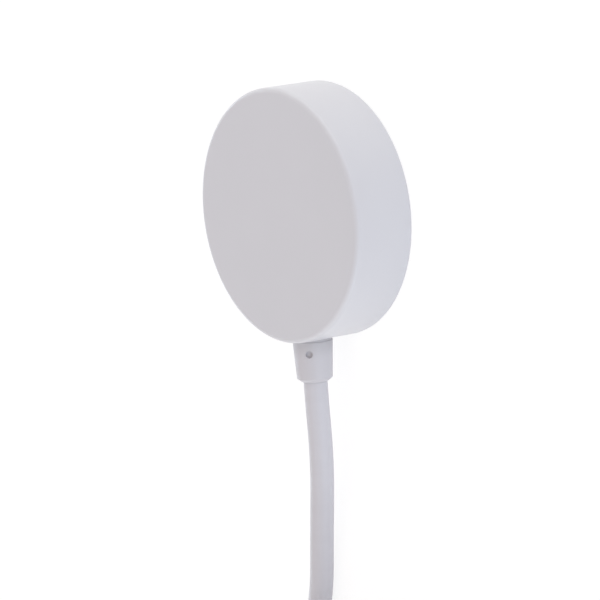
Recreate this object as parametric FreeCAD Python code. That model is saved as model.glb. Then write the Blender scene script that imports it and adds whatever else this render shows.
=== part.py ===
"""Smartwatch charging cable: a magnetic charging puck on a thin cord with a flat plug.

The puck lies on its open lip, watch side down, and the cord leaves its rim towards -Y.
The origin is the centre of the lip's plane. All sizes are in millimetres.
"""
import FreeCAD, Part
import math
import os

from FreeCAD import Vector

# Puck housing
puck_radius = 14.0
puck_height = 7.7
back_round = 0.65
lip_round = 0.4
side_wall = 1.7
back_wall = 1.2
cavity_round = 0.5
lip_wall = 1.1

# Charging face
face_gap = 0.05
face_recess = 0.15
face_rim = 1.05
face_rim_chamfer = 0.15
dish_land = 0.85
dish_depth = 1.0
face_skin = 0.8

# Charging coil and its pot core
strip_width = 0.32
strip_height = 0.5
strip_gap = 0.08
coil_gap = 0.17
coil_half_turns = 17
coil_recess = 0.03
core_hole_gap = 0.1
core_inner_wall = 0.7
core_outer_wall = 0.4
core_base = 0.72
insulator_thick = 0.12
tail_hole_gap = 0.1
tail_proud = 0.25

# Magnet and its steel cup
magnet_to_rim = 9.0
magnet_lift = 0.05
cup_wall = 0.5
cup_flange = 0.6
cup_flange_thick = 0.48

# Carrier ring round the core
carrier_wall = 1.6
carrier_shelf = 0.85
carrier_lap = 0.22
carrier_gap = 0.05
carrier_floor = 0.5
carrier_notch = 5.2

# Circuit board
board_thick = 0.8
board_gap = 0.1
board_notch = 5.8
board_notch_depth = 3.6
post_radius = 0.8
post_inset = 1.2
post_angles = (22.0, 122.0, 240.0)
parts_inset = 3.3
solder_radius = 0.45
solder_height = 0.45
solder_top = 0.25
solder_ahead = 0.12

# Components on the board: length along the radius, width, height. The lengths and widths
# are for a parts circle of this radius, and grow and shrink with the circle
layout_circle = 9.0
chip_corner = 0.12
controller_size = (4.0, 4.0, 0.9)
controller_angle = 95.0
driver_size = (3.0, 3.0, 0.9)
driver_angle = 150.0
choke_size = (3.0, 3.0, 1.5)
choke_angle = 45.0
choke_cap = 0.35
choke_neck = 0.3
thermistor_size = (1.6, 0.8, 0.6)
thermistor_angle = 70.0
resonant_size = (3.0, 1.6, 1.6)
resonant_angles = (196.0, 209.0, 222.0)
filter_size = (1.6, 0.8, 0.8)
filter_angles = (300.0, 315.0, 330.0, 343.0)
terminal_share = 0.2
terminal_step = 0.04

# Cord, its grip sleeve and the strain relief collar
cord_diameter = 2.63
cord_height = 3.85
cord_inside = 3.0
cord_straight = 5.4
boss_proud = 0.3
grip_wall = 0.3
grip_flange = 0.5
grip_flange_thick = 0.9
grip_length = 5.6
collar_root = 4.42
collar_tip = 3.94
collar_length = 4.3
collar_nose = 0.4
collar_mouth = 2.8
mark_diameter = 0.8
mark_from_rim = 1.45
mark_angle = 40.0
lead_diameter = 0.8
lead_lift = 0.04
lead_spread = (0.6, 0.6, 0.9, 1.2)
lead_reach = (0.0, 0.9, 1.8, 3.5)

# The cord's free stretch, chosen point by point, from its first bend to the coil
cord_route = [
    (-0.1, -27.8, 3.45),
    (-3.0, -36.2, 1.95),
    (-4.4, -45.0, 1.55),
    (-8.6, -51.8, 1.335),
]
arc_share = 0.45

# Coil of the put-away length
ring_centre = (4.0, -68.0)
ring_mean = 14.5
ring_reach = 3.03
ring_layers = 4
layer_step = 2.735
ring_slack = 0.03
ring_round = 1.2
ring_chamfer = 0.9
entry_angle = 158.7
exit_angle = 195.0
cord_lay = 1.335

# The cord's last stretch, from the coil to the plug
tail_route = [
    (-10.2, -82.7, 9.4),
    (-7.9, -91.4, 3.8),
    (-7.9, -101.9, 3.8),
]

# Tie round the coil
tie_angle = 50.0
tie_width = 7.0
tie_thick = 0.45
tie_lap_start = 3.6

# Plug
plug_x = -7.9
plug_z = 3.8
plug_start = -99.9
cover_width = 15.4
cover_height = 7.6
cover_length = 20.5
cover_corner = 2.4
cover_rear_round = 1.5
cover_front_round = 0.4
cover_wall = 1.0
cover_rear_wall = 2.0
mould_recess = 0.3
plug_collar_length = 4.0
plug_collar_tip = 3.7
shell_width = 12.0
shell_height = 4.5
shell_wall = 0.3
shell_corner = 0.6
shell_length = 11.75
shell_seat = 6.5
shell_slit = 0.1
window_size = 2.0
window_spread = 4.5
window_from_tip = 5.16
tongue_thick = 1.84
tongue_from_tip = 0.6
tongue_chamfer = 0.5
contact_width = 1.0
contact_thick = 0.25
contact_proud = 0.12
contact_places = ((-3.5, 1.1), (-1.0, 2.1), (1.0, 2.1), (3.5, 1.1))
contact_back = 1.0

# Heights of the stack inside the puck, worked out from the sizes above
face_seat = face_recess + face_rim
core_bottom = face_seat + carrier_shelf
strip_bottom = core_bottom + coil_recess
core_underside = strip_bottom + strip_height
core_top = core_underside + core_base
board_bottom = core_top + insulator_thick
board_top = board_bottom + board_thick
cavity_top = puck_height - back_wall
face_apex = face_recess + dish_depth + face_skin
magnet_bottom = face_apex + magnet_lift
cup_top = board_top + cup_flange_thick

# Radii and distances inside the puck, worked out from its radius
cavity_radius = puck_radius - side_wall
face_radius = puck_radius - lip_wall - face_gap
dish_radius = face_radius - dish_land
core_outer = cavity_radius - carrier_wall
magnet_radius = puck_radius - magnet_to_rim
cup_radius = magnet_radius + cup_wall
core_hole = cup_radius + core_hole_gap
coil_inner = core_hole + core_inner_wall + coil_gap
post_circle = cavity_radius - post_inset
parts_circle = cavity_radius - parts_inset
layout_share = parts_circle / layout_circle
boss_flat = cavity_radius - boss_proud
cord_start = cord_inside - puck_radius
cord_bend = -puck_radius - cord_straight
lead_top = board_top + lead_lift + lead_diameter / 2

# Other sizes worked out from those above
cord_radius = cord_diameter / 2
grip_radius = cord_radius + grip_wall
grip_flange_radius = grip_radius + grip_flange
ring_inner = ring_mean - ring_reach
ring_outer = ring_mean + ring_reach
ring_inside = ring_inner - cord_radius - ring_slack
ring_outside = ring_outer + cord_radius + ring_slack
ring_height = cord_lay + (ring_layers - 1) * layer_step + cord_radius + ring_slack
plug_front = plug_start - cover_length
shell_back = plug_front + shell_seat
shell_tip = plug_front - shell_length

UP = Vector(0, 0, 1)
ALONG = Vector(0, -1, 0)
CORD_AXIS = Vector(0, 0, cord_height)


def save(node, shape):
    """Writes one sub-part and says what it is."""
    solids = len(shape.Solids)
    print(f"{node}: {solids} solid(s), {shape.Volume:.2f} mm3, valid {shape.isValid()}")
    shape.exportStep(f"parts/{node}.step")


def disc(radius, low, high, x=0.0, y=0.0):
    """An upright cylinder between two heights."""
    return Part.makeCylinder(radius, high - low, Vector(x, y, low))


def washer(inner, outer, low, high):
    return disc(outer, low, high).cut(disc(inner, low, high))


def rod(radius, start, length, axis=CORD_AXIS):
    """A cylinder along -Y that starts at y = start, on an axis given at y = 0."""
    return Part.makeCylinder(radius, length, axis + Vector(0, start, 0), ALONG)


def taper(radius_start, radius_end, start, length, axis=CORD_AXIS):
    """A cone along -Y that starts at y = start."""
    place = axis + Vector(0, start, 0)
    return Part.makeCone(radius_start, radius_end, length, place, ALONG)


def block(x_low, x_high, y_low, y_high, z_low, z_high):
    corner = Vector(x_low, y_low, z_low)
    return Part.makeBox(x_high - x_low, y_high - y_low, z_high - z_low, corner)


def round_rim(solid, rounding, radius, height):
    """Rounds the circular edge of that radius at that height."""
    edges = [
        edge for edge in solid.Edges
        if edge.Curve.TypeId == "Part::GeomCircle"
        and abs(edge.Curve.Radius - radius) < 1e-4
        and abs(edge.Curve.Center.z - height) < 1e-4
    ]
    return solid.makeFillet(rounding, edges)


def at_angle(shape, angle, centre=Vector(0, 0, 0)):
    """The shape turned about an upright axis."""
    turned = shape.copy()
    turned.rotate(centre, UP, angle)
    return turned


def together(shapes):
    """Separate solids of one node."""
    return Part.makeCompound(shapes)


# Cord paths

def rounded_path(points, diameter, name):
    """Straight runs joined by tangent arcs, each as large as its two runs allow."""
    edges = []
    start = points[0]
    for before, corner, after in zip(points, points[1:], points[2:]):
        back = (before - corner).normalize()
        ahead = (after - corner).normalize()
        reach = arc_share * min((before - corner).Length, (after - corner).Length)
        half_turn = (math.pi - back.getAngle(ahead)) / 2
        radius = reach / math.tan(half_turn)
        print(f"{name}: arc radius {radius:.1f} mm, {radius / diameter:.1f} diameters")
        middle = (back + ahead).normalize()
        centre = corner + middle * (radius / math.cos(half_turn))
        arc_start = corner + back * reach
        arc_end = corner + ahead * reach
        edges.append(Part.LineSegment(start, arc_start).toShape())
        edges.append(Part.Arc(arc_start, centre - middle * radius, arc_end).toShape())
        start = arc_end
    edges.append(Part.LineSegment(start, points[-1]).toShape())
    return edges


def split_run(edges, run):
    """Two paths: up to the middle of that straight run, and on from there."""
    whole = edges[2 * run]
    first, last = whole.Vertexes[0].Point, whole.Vertexes[1].Point
    middle = (first + last) * 0.5
    before = edges[:2 * run] + [Part.LineSegment(first, middle).toShape()]
    after = [Part.LineSegment(middle, last).toShape()] + edges[2 * run + 1:]
    return before, after


def tube(edges, radius):
    """A round tube along a path of lines and arcs."""
    path = Part.Wire(edges)
    start = edges[0].Vertexes[0].Point
    heading = edges[0].Vertexes[1].Point - start
    section = Part.Face(Part.Wire(Part.makeCircle(radius, start, heading)))
    return path.makePipe(section)


def free_tube(edges, name):
    """A tube of the cord, with its volume set against section times length."""
    solid = tube(edges, cord_radius)
    length = sum(edge.Length for edge in edges)
    expected = math.pi * cord_radius ** 2 * length
    print(f"{name}: {length:.1f} mm long, volume {solid.Volume / expected:.5f} of section x length")
    return solid


def ring_point(radius, angle, height):
    turn = math.radians(angle)
    x = ring_centre[0] + radius * math.cos(turn)
    y = ring_centre[1] + radius * math.sin(turn)
    return Vector(x, y, height)


def cord_paths():
    """The paths of the free cord, the coil's two ends and the tail."""
    entry = ring_point(ring_outer, entry_angle, cord_lay)
    straight = [Vector(0, cord_start, cord_height), Vector(0, cord_bend, cord_height)]
    lead_in = straight + [Vector(*point) for point in cord_route] + [entry]
    cord_edges = rounded_path(lead_in, cord_diameter, "cord")
    cord, entry_end = split_run(cord_edges, len(lead_in) - 3)
    top_layer = cord_lay + (ring_layers - 1) * layer_step
    leave = ring_point(ring_outer, exit_angle, top_layer)
    lead_out = [leave] + [Vector(*point) for point in tail_route]
    exit_end, tail = split_run(rounded_path(lead_out, cord_diameter, "cord_tail"), 1)
    return cord, entry_end, exit_end, tail


# Puck housing and charging face

def back_housing():
    """One moulded cup: flat back, side wall, seat for the charging face and three posts."""
    lip_inner = puck_radius - lip_wall
    body = disc(puck_radius, 0, puck_height)
    body = round_rim(body, back_round, puck_radius, puck_height)
    body = round_rim(body, lip_round, puck_radius, 0)
    cavity = disc(cavity_radius, 0, cavity_top)
    cavity = round_rim(cavity, cavity_round, cavity_radius, cavity_top)
    body = body.cut(cavity).cut(disc(lip_inner, 0, face_seat))
    boss = block(
        -grip_flange_radius, grip_flange_radius, -puck_radius, -boss_flat,
        cord_height - grip_flange_radius, cord_height + grip_flange_radius,
    )
    boss = boss.common(disc(cavity_radius + side_wall / 2, 0, puck_height))
    posts = [
        disc(post_radius, board_top, cavity_top + back_wall / 2,
             post_circle * math.cos(math.radians(angle)),
             post_circle * math.sin(math.radians(angle)))
        for angle in post_angles
    ]
    body = body.fuse([boss] + posts)
    bore = rod(grip_radius, cord_start, cord_inside + side_wall)
    return body.cut(bore).removeSplitter()


def charging_face():
    """The dished cover that the watch rests on, with a skin of even thickness."""
    sphere_radius = (dish_radius ** 2 + dish_depth ** 2) / (2 * dish_depth)
    centre = Vector(0, 0, face_recess + dish_depth - sphere_radius)
    dish = Part.makeSphere(sphere_radius, centre)
    crown = Part.makeSphere(sphere_radius + face_skin, centre)
    plate = disc(face_radius, face_recess, face_seat)
    edge = [
        edge for edge in plate.Edges
        if edge.Curve.TypeId == "Part::GeomCircle" and edge.Curve.Center.z < face_seat
    ]
    plate = plate.makeChamfer(face_rim_chamfer, edge)
    crown = crown.common(disc(dish_radius, face_recess, face_apex + face_skin))
    return plate.fuse(crown).cut(dish).removeSplitter()


# Charging coil, core and magnet

def strip_turns():
    """Radius, centre and side of each half turn of the spiral, from the inside out."""
    pitch = strip_width + strip_gap
    start = coil_inner + strip_width / 2
    for half in range(coil_half_turns):
        yield start + half * pitch / 2, (half % 2) * pitch / 2, 1 - 2 * (half % 2)


def strip_ends():
    """Where the spiral's inner and outer ends lie on the X axis."""
    turns = list(strip_turns())
    radius, centre, side = turns[-1]
    return turns[0][0], centre - side * radius


def charge_coil():
    """A flat spiral of strip in tangent half turns, with its two ends turned up."""
    def border(offset):
        arcs = []
        for radius, centre, side in strip_turns():
            reach = radius + offset
            first = Vector(centre + side * reach, 0, strip_bottom)
            top = Vector(centre, side * reach, strip_bottom)
            last = Vector(centre - side * reach, 0, strip_bottom)
            arcs.append(Part.Arc(first, top, last).toShape())
        return arcs

    outer = border(strip_width / 2)
    inner = border(-strip_width / 2)
    caps = []
    for number in (0, -1):
        vertex = 0 if number == 0 else 1
        one = outer[number].Vertexes[vertex].Point
        other = inner[number].Vertexes[vertex].Point
        caps.append(Part.LineSegment(one, other).toShape())
    outline = Part.Wire(Part.sortEdges(outer + inner + caps)[0])
    strip = Part.Face(outline).extrude(Vector(0, 0, strip_height))
    return strip.fuse(tail_posts(0.0)).removeSplitter()


def tail_posts(gap):
    """The upright ends of the strip, or with a gap the openings for them."""
    half = strip_width / 2
    posts = []
    for x, side in zip(strip_ends(), (1, -1)):
        posts.append(block(
            x - half - gap, x + half + gap,
            min(0, -side * strip_width) - gap, max(0, -side * strip_width) + gap,
            strip_bottom, board_top + tail_proud + gap,
        ))
    return posts


def ferrite_core():
    """A shallow pot core, open towards the watch, with the coil in its groove."""
    core = washer(core_hole, core_outer, core_bottom, core_top)
    groove = washer(
        core_hole + core_inner_wall, core_outer - core_outer_wall,
        core_bottom, core_underside,
    )
    return core.cut([groove] + tail_posts(tail_hole_gap))


def coil_insulator():
    sheet = washer(core_hole, core_outer, core_top, board_bottom)
    return sheet.cut(tail_posts(tail_hole_gap))


def coil_carrier():
    """The ring that centres the core, holds it off the face and carries the board's rim."""
    outer = cavity_radius - carrier_gap
    wall = washer(core_outer + carrier_gap, outer, face_seat, board_bottom)
    shelf = washer(core_outer - carrier_lap, outer, face_seat, core_bottom)
    notch = block(
        -carrier_notch / 2, carrier_notch / 2, -puck_radius, -core_outer + carrier_gap,
        face_seat + carrier_floor, puck_height,
    )
    return wall.fuse(shelf).cut(notch).removeSplitter()


def alignment_magnet():
    return disc(magnet_radius, magnet_bottom, cup_top - cup_wall)


def magnet_cup():
    """A drawn steel cup behind the magnet, with a flange that sits on the board."""
    cup = disc(cup_radius, magnet_bottom, cup_top)
    flange = disc(cup_radius + cup_flange, board_top, cup_top)
    return cup.fuse(flange).cut(alignment_magnet()).removeSplitter()


# Circuit board and what is on it

def circuit_board():
    board = washer(core_hole, cavity_radius - board_gap, board_bottom, board_top)
    notch = block(
        -board_notch / 2, board_notch / 2, -puck_radius, -cavity_radius + board_notch_depth,
        board_bottom, board_top,
    )
    return board.cut([notch] + tail_posts(tail_hole_gap))


def laid_out(size):
    """A component's length and width for the real parts circle, and its height."""
    length, width, height = size
    return length * layout_share, width * layout_share, height


def on_board(size, angle):
    """A block on the board's top, on the parts circle at that angle."""
    length, width, height = size
    part = block(
        parts_circle - length / 2, parts_circle + length / 2, -width / 2, width / 2,
        board_top, board_top + height,
    )
    return at_angle(part, angle)


def chip(size, angle):
    """A moulded package with its upper edges broken."""
    part = on_board(laid_out(size), angle)
    top = board_top + size[2]
    edges = [
        edge for edge in part.Edges
        if all(abs(vertex.Point.z - top) < 1e-6 for vertex in edge.Vertexes)
    ]
    return part.makeChamfer(chip_corner, edges)


def capacitor(size, angle):
    """A ceramic block with a plated terminal standing a little proud at each end."""
    length, width, height = laid_out(size)
    body = on_board((length, width, height), angle)
    terminals = []
    for side in (-1, 1):
        middle = parts_circle + side * length * (1 - terminal_share) / 2
        half = length * terminal_share / 2
        cap = block(
            middle - half, middle + half,
            -width / 2 - terminal_step, width / 2 + terminal_step,
            board_top, board_top + height + terminal_step,
        )
        terminals.append(at_angle(cap, angle))
    return body.fuse(terminals).removeSplitter()


def capacitor_row(size, angles):
    return together([capacitor(size, angle) for angle in angles])


def filter_choke():
    """A drum core: two square flanges with a round waist between them."""
    length, width, height = laid_out(choke_size)
    drum = on_board((length, width, height), 0.0)
    waist_low, waist_high = board_top + choke_cap, board_top + height - choke_cap
    sleeve = on_board((length, width, waist_high - board_top), 0.0)
    sleeve = sleeve.cut(block(0, puck_radius, -width, width, 0, waist_low))
    sleeve = sleeve.cut(disc(width / 2 - choke_neck, waist_low, waist_high, parts_circle))
    return at_angle(drum.cut(sleeve), choke_angle)


def lead_points(side):
    """The corners of one lead's route, from the cord's stripped end onto the board."""
    heights = (cord_height, cord_height, lead_top, lead_top)
    return [
        Vector(side * spread, cord_start + reach, height)
        for spread, reach, height in zip(lead_spread, lead_reach, heights)
    ]


def lead(side, name):
    """One lead, from the cord's stripped end onto the board."""
    return tube(rounded_path(lead_points(side), lead_diameter, name), lead_diameter / 2)


def solder_joints(leads, coil):
    """A cone of solder round each strip end and over each lead's end."""
    places = [
        (x, -side * strip_width / 2, solder_height)
        for x, side in zip(strip_ends(), (1, -1))
    ]
    for side in (1, -1):
        end = lead_points(side)[-1]
        places.append((end.x, end.y + solder_ahead, end.z - board_top + solder_height))
    joints = []
    for x, y, height in places:
        cone = Part.makeCone(solder_radius, solder_top, height, Vector(x, y, board_top))
        joints.append(cone.cut(leads + [coil]))
    return together([solid for joint in joints for solid in joint.Solids])


# Cord entry, collars, coil and tie

def cord_grip(cord):
    """A flanged sleeve on the cord: its flange sits on the flat inside the housing."""
    flange = rod(grip_flange_radius, -boss_flat + grip_flange_thick, grip_flange_thick)
    sleeve = rod(grip_radius, -boss_flat + grip_flange_thick, grip_flange_thick + grip_length)
    return flange.fuse(sleeve).cut(cord).removeSplitter()


def collar_form(start, length, root, tip, axis):
    """A tapered round collar along -Y, with a blunt cone at its end."""
    body = taper(root / 2, tip / 2, start, length, axis)
    nose = taper(tip / 2, collar_mouth / 2, start - length, collar_nose, axis)
    return body.fuse(nose)


def strain_relief_collar(cord, grip):
    """The collar on the puck's rim, with one small blind hole down to the grip sleeve."""
    root_at = -puck_radius + lip_round
    collar = collar_form(root_at, collar_length + lip_round, collar_root, collar_tip, CORD_AXIS)
    collar = collar.cut(disc(puck_radius, 0, puck_height))
    turn = math.radians(mark_angle)
    outward = Vector(math.sin(turn), 0, math.cos(turn))
    place = CORD_AXIS + Vector(0, -puck_radius - mark_from_rim, 0) + outward * grip_radius
    hole = Part.makeCylinder(mark_diameter / 2, collar_root, place, outward)
    return collar.cut([cord, grip, hole])


def section_sheet(inner, outer, low, high):
    """A rectangle in the plane of the coil's axis, between two radii and two heights."""
    corner = Vector(ring_centre[0] + inner, ring_centre[1], low)
    return Part.makePlane(outer - inner, high - low, corner, ALONG, Vector(1, 0, 0))


def ring_section(low, growth=0.0, rounded=True):
    """The coil's section standing at a height, or an outline that much outside it."""
    sheet = section_sheet(
        ring_inside - growth, ring_outside + growth, low - growth, low + ring_height + growth,
    )
    solid = sheet.extrude(Vector(0, 1, 0))
    edges = [
        edge for edge in solid.Edges
        if abs(edge.Vertexes[0].Point.y - edge.Vertexes[1].Point.y) > 0.5
    ]
    if rounded:
        solid = solid.makeFillet(ring_round + growth, edges)
    else:
        solid = solid.makeChamfer(ring_chamfer, edges)
    for face in solid.Faces:
        if all(abs(vertex.Point.y - ring_centre[1]) < 1e-6 for vertex in face.Vertexes):
            return face


def ring_sector(section, width_angle, middle_angle):
    """A section swept round the coil's axis, centred on an angle."""
    centre = Vector(ring_centre[0], ring_centre[1], 0)
    swept = section.revolve(centre, UP, width_angle)
    return at_angle(swept, middle_angle - width_angle / 2, centre)


def at_tie(section):
    """A section swept through the width of the tie."""
    return ring_sector(section, math.degrees(tie_width / ring_mean), tie_angle)


def cord_tie():
    """A strap round the coil, its end lapped over the top and down the outside."""
    inside = at_tie(ring_section(tie_thick))
    strap = at_tie(ring_section(tie_thick, tie_thick))
    over = at_tie(ring_section(tie_thick, 2 * tie_thick))
    lap = over.common(at_tie(section_sheet(
        ring_inside + tie_lap_start, ring_outside + ring_height, ring_height / 2, 2 * ring_height,
    )))
    return strap.fuse(lap.cut(strap)).cut(inside).removeSplitter()


def cord_coil(entry_end, exit_end):
    """The coil's outer shape, lifted a little where the tie passes under it."""
    strap = at_tie(ring_section(tie_thick, tie_thick))
    ring = ring_sector(ring_section(0, rounded=False), 360.0, 0.0).cut(strap)
    held = at_tie(ring_section(tie_thick))
    ends = [tube(entry_end, cord_radius), tube(exit_end, cord_radius)]
    return ring.fuse([held] + ends).removeSplitter()


# Plug

def slab(width, height, corner, start, length):
    """A bar along -Y on the plug's axis, with rounded long edges."""
    bar = block(
        plug_x - width / 2, plug_x + width / 2, start - length, start,
        plug_z - height / 2, plug_z + height / 2,
    )
    edges = [
        edge for edge in bar.Edges
        if abs(edge.Vertexes[0].Point.y - edge.Vertexes[1].Point.y) > length / 2
    ]
    return bar.makeFillet(corner, edges)


def end_edges(solid, place):
    """The edges of the end face at y = place."""
    return [
        edge for edge in solid.Edges
        if all(abs(vertex.Point.y - place) < 1e-6 for vertex in edge.Vertexes)
    ]


def plug_cover(tail):
    """The moulded grip of the plug, hollow from its front."""
    cover = slab(cover_width, cover_height, cover_corner, plug_start, cover_length)
    cover = cover.makeFillet(cover_rear_round, end_edges(cover, plug_start))
    cover = cover.makeFillet(cover_front_round, end_edges(cover, plug_front))
    return cover.cut([cover_cavity(0.0), tail])


def cover_cavity(recess):
    """The space inside the cover, up to its front or set back from it."""
    return slab(
        cover_width - 2 * cover_wall, cover_height - 2 * cover_wall,
        cover_corner - cover_wall, plug_start - cover_rear_wall,
        cover_length - cover_rear_wall - recess,
    )


def plug_inner_mould():
    """The inner mould that holds the shell, from the cord's end to just inside the front."""
    pocket = slab(shell_width, shell_height, shell_corner, shell_back, shell_seat)
    return cover_cavity(mould_recess).cut(pocket)


def shell_inside(start, length):
    return slab(
        shell_width - 2 * shell_wall, shell_height - 2 * shell_wall,
        shell_corner - shell_wall, start, length,
    )


def plug_shell():
    """Folded sheet steel: a flat tube with four windows and a butt seam underneath."""
    whole = shell_back - shell_tip
    shell = slab(shell_width, shell_height, shell_corner, shell_back, whole)
    shell = shell.cut(shell_inside(shell_back, whole))
    middle = shell_tip + window_from_tip
    windows = []
    for side in (-1, 1):
        x = plug_x + side * window_spread / 2
        windows.append(block(
            x - window_size / 2, x + window_size / 2,
            middle - window_size / 2, middle + window_size / 2,
            plug_z - shell_height, plug_z + shell_height,
        ))
    slit = block(
        plug_x - shell_slit / 2, plug_x + shell_slit / 2, shell_tip, shell_back,
        plug_z - shell_height, plug_z,
    )
    return shell.cut(windows + [slit])


def tongue_top():
    return plug_z - shell_height / 2 + shell_wall + tongue_thick


def plug_contacts():
    """Four strips let into the tongue's upper face."""
    top = tongue_top()
    strips = []
    for place, from_tip in contact_places:
        x = plug_x + place
        strips.append(block(
            x - contact_width / 2, x + contact_width / 2,
            shell_tip + tongue_from_tip + from_tip, plug_front - contact_back,
            top + contact_proud - contact_thick, top + contact_proud,
        ))
    return together(strips)


def plug_tongue(contacts):
    """The insulator: a block that fills the back of the shell and a tongue in front of it."""
    tip = shell_tip + tongue_from_tip
    back = shell_inside(shell_back, shell_seat)
    blade = shell_inside(plug_front, plug_front - tip).common(block(
        plug_x - shell_width, plug_x + shell_width, tip, plug_front, 0, tongue_top(),
    ))
    edges = [
        edge for edge in end_edges(blade, tip)
        if all(abs(vertex.Point.z - tongue_top()) < 1e-6 for vertex in edge.Vertexes)
    ]
    blade = blade.makeChamfer(tongue_chamfer, edges)
    return back.fuse(blade).removeSplitter().cut(contacts.Solids)


def plug_collar(tail):
    """A tapered collar where the cord enters the plug, widest at the plug."""
    axis = Vector(plug_x, 0, plug_z)
    start = plug_start + plug_collar_length
    nose = taper(collar_mouth / 2, plug_collar_tip / 2, start, collar_nose, axis)
    body = taper(
        plug_collar_tip / 2, collar_root / 2, start - collar_nose,
        plug_collar_length - collar_nose, axis,
    )
    return nose.fuse(body).cut(tail)


def main():
    os.makedirs("parts", exist_ok=True)
    cord_path, entry_end, exit_end, tail_path = cord_paths()
    cord = free_tube(cord_path, "cord")
    tail = free_tube(tail_path, "cord_tail")

    save("back_housing", back_housing())
    save("charging_face", charging_face())
    coil = charge_coil()
    save("charge_coil", coil)
    save("ferrite_core", ferrite_core())
    save("coil_insulator", coil_insulator())
    save("coil_carrier", coil_carrier())
    save("alignment_magnet", alignment_magnet())
    save("magnet_cup", magnet_cup())

    save("circuit_board", circuit_board())
    save("controller_chip", chip(controller_size, controller_angle))
    save("driver_chip", chip(driver_size, driver_angle))
    save("filter_choke", filter_choke())
    save("thermistor", capacitor(thermistor_size, thermistor_angle))
    save("resonant_capacitors", capacitor_row(resonant_size, resonant_angles))
    save("filter_capacitors", capacitor_row(filter_size, filter_angles))
    supply = lead(1, "supply_lead")
    ground = lead(-1, "ground_lead")
    save("supply_lead", supply)
    save("ground_lead", ground)
    save("solder_joints", solder_joints([supply, ground], coil))

    grip = cord_grip(cord)
    save("cord_grip", grip)
    save("strain_relief_collar", strain_relief_collar(cord, grip))
    save("cord", cord)
    save("cord_coil", cord_coil(entry_end, exit_end))
    save("cord_tie", cord_tie())
    save("cord_tail", tail)

    contacts = plug_contacts()
    save("plug_collar", plug_collar(tail))
    save("plug_cover", plug_cover(tail))
    save("plug_inner_mould", plug_inner_mould())
    save("plug_shell", plug_shell())
    save("plug_contacts", contacts)
    save("plug_tongue", plug_tongue(contacts))


main()
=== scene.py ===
"""Smartwatch charging cable: the finishes, the cord at its real length, and a plain studio.

Forms are worked out in millimetres and put into the frame in metres when they are done.
"""
import math

import bmesh
import bpy
from mathutils import Euler, Matrix, Vector


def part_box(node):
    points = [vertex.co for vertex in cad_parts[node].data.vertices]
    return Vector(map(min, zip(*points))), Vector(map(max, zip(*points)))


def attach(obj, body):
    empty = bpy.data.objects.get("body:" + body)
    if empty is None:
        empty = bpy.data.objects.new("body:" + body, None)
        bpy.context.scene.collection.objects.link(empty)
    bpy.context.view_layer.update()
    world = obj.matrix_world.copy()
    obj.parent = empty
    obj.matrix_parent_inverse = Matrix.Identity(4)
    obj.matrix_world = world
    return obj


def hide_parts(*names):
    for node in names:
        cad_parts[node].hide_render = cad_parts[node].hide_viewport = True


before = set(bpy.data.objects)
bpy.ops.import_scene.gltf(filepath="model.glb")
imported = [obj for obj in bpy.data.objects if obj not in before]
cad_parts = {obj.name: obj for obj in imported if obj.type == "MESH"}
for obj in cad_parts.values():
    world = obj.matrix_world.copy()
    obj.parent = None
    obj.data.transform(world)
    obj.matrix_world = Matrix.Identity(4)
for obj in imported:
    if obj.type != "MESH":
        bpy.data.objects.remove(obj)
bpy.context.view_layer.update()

bl_info = {
    "name": "Smartwatch charging cable",
    "version": (1, 0, 0),
    "blender": (4, 5, 0),
    "location": "View3D > Sidebar > Charging cable",
    "description": "Dresses a charging puck, its cord and its plug, and sets the studio",
    "category": "Object",
}

MM = 0.001
BODY = "root"
UP = Vector((0, 0, 1))
ALONG = Vector((0, -1, 0))
ACROSS = Vector((1, 0, 0))


def node_box(node):
    """Lowest and highest corner of a node, in millimetres."""
    low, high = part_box(node)
    return low / MM, high / MM


_, HOUSING_HIGH = node_box("back_housing")
FACE_LOW, FACE_HIGH = node_box("charging_face")
_, BOARD_HIGH = node_box("circuit_board")
COLLAR_LOW, _ = node_box("strain_relief_collar")
GRIP_LOW, GRIP_HIGH = node_box("cord_grip")
COVER_LOW, COVER_HIGH = node_box("plug_cover")
BOOT_LOW, BOOT_HIGH = node_box("plug_collar")
SHELL_LOW, SHELL_HIGH = node_box("plug_shell")
MOULD_LOW, MOULD_HIGH = node_box("plug_inner_mould")
TONGUE_LOW, _ = node_box("plug_tongue")
PINS_LOW, PINS_HIGH = node_box("plug_contacts")
PLUG_AXIS = (SHELL_LOW + SHELL_HIGH) / 2

# Middle of the wound length, in millimetres
COIL_MIDDLE = Vector((4.0, -68.0, 0.0))

# Height of the charging face's rim, and wall of the sleeve on the cord, in millimetres
FACE_RIM = 1.05
GRIP_WALL = 0.3

# Where the posts on the board stand, in degrees
POST_ANGLES = (22.0, 122.0, 240.0)

# The plug's contacts: distance from its middle and from the tongue's tip, in millimetres
CONTACT_PLACES = ((-3.5, 1.1), (-1.0, 2.1), (1.0, 2.1), (3.5, 1.1))

# The strap's rounding, its gap to the turns and where its lapped end starts, in millimetres
STRAP_ROUND = 1.2
STRAP_GAP = 0.03
LAP_START = 3 * STRAP_ROUND

# Steps in each corner of the strap, and across its width
CORNER_STEPS = 8
STRAP_STEPS = 14

# Angles from the tie up to which the turns stay lifted, and from which they lie low
TIE_HELD = math.radians(40.0)
TIE_FREE = math.radians(75.0)

# Softened edges of the collar and the boot in millimetres, and their slopes
EDGE_SOFT = 0.09
EDGE_BROKEN = 0.03
TAPER_RISE = 0.004
SHOULDER_SLOPE = 0.3
MOUTH_SLOPE = 0.35
LEAST_LAND = 0.02

# Narrow flat beside a rounding, reach of a cut past its piece, and an overlap of two
# forms that are joined, in millimetres
ROUND_FLAT = 0.06
PAST = 1.0
OVERLAP = 0.01

# Distances under which points count as being in place, and are merged, in millimetres
IN_PLACE = 1e-4
MERGED = 1e-5

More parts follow.
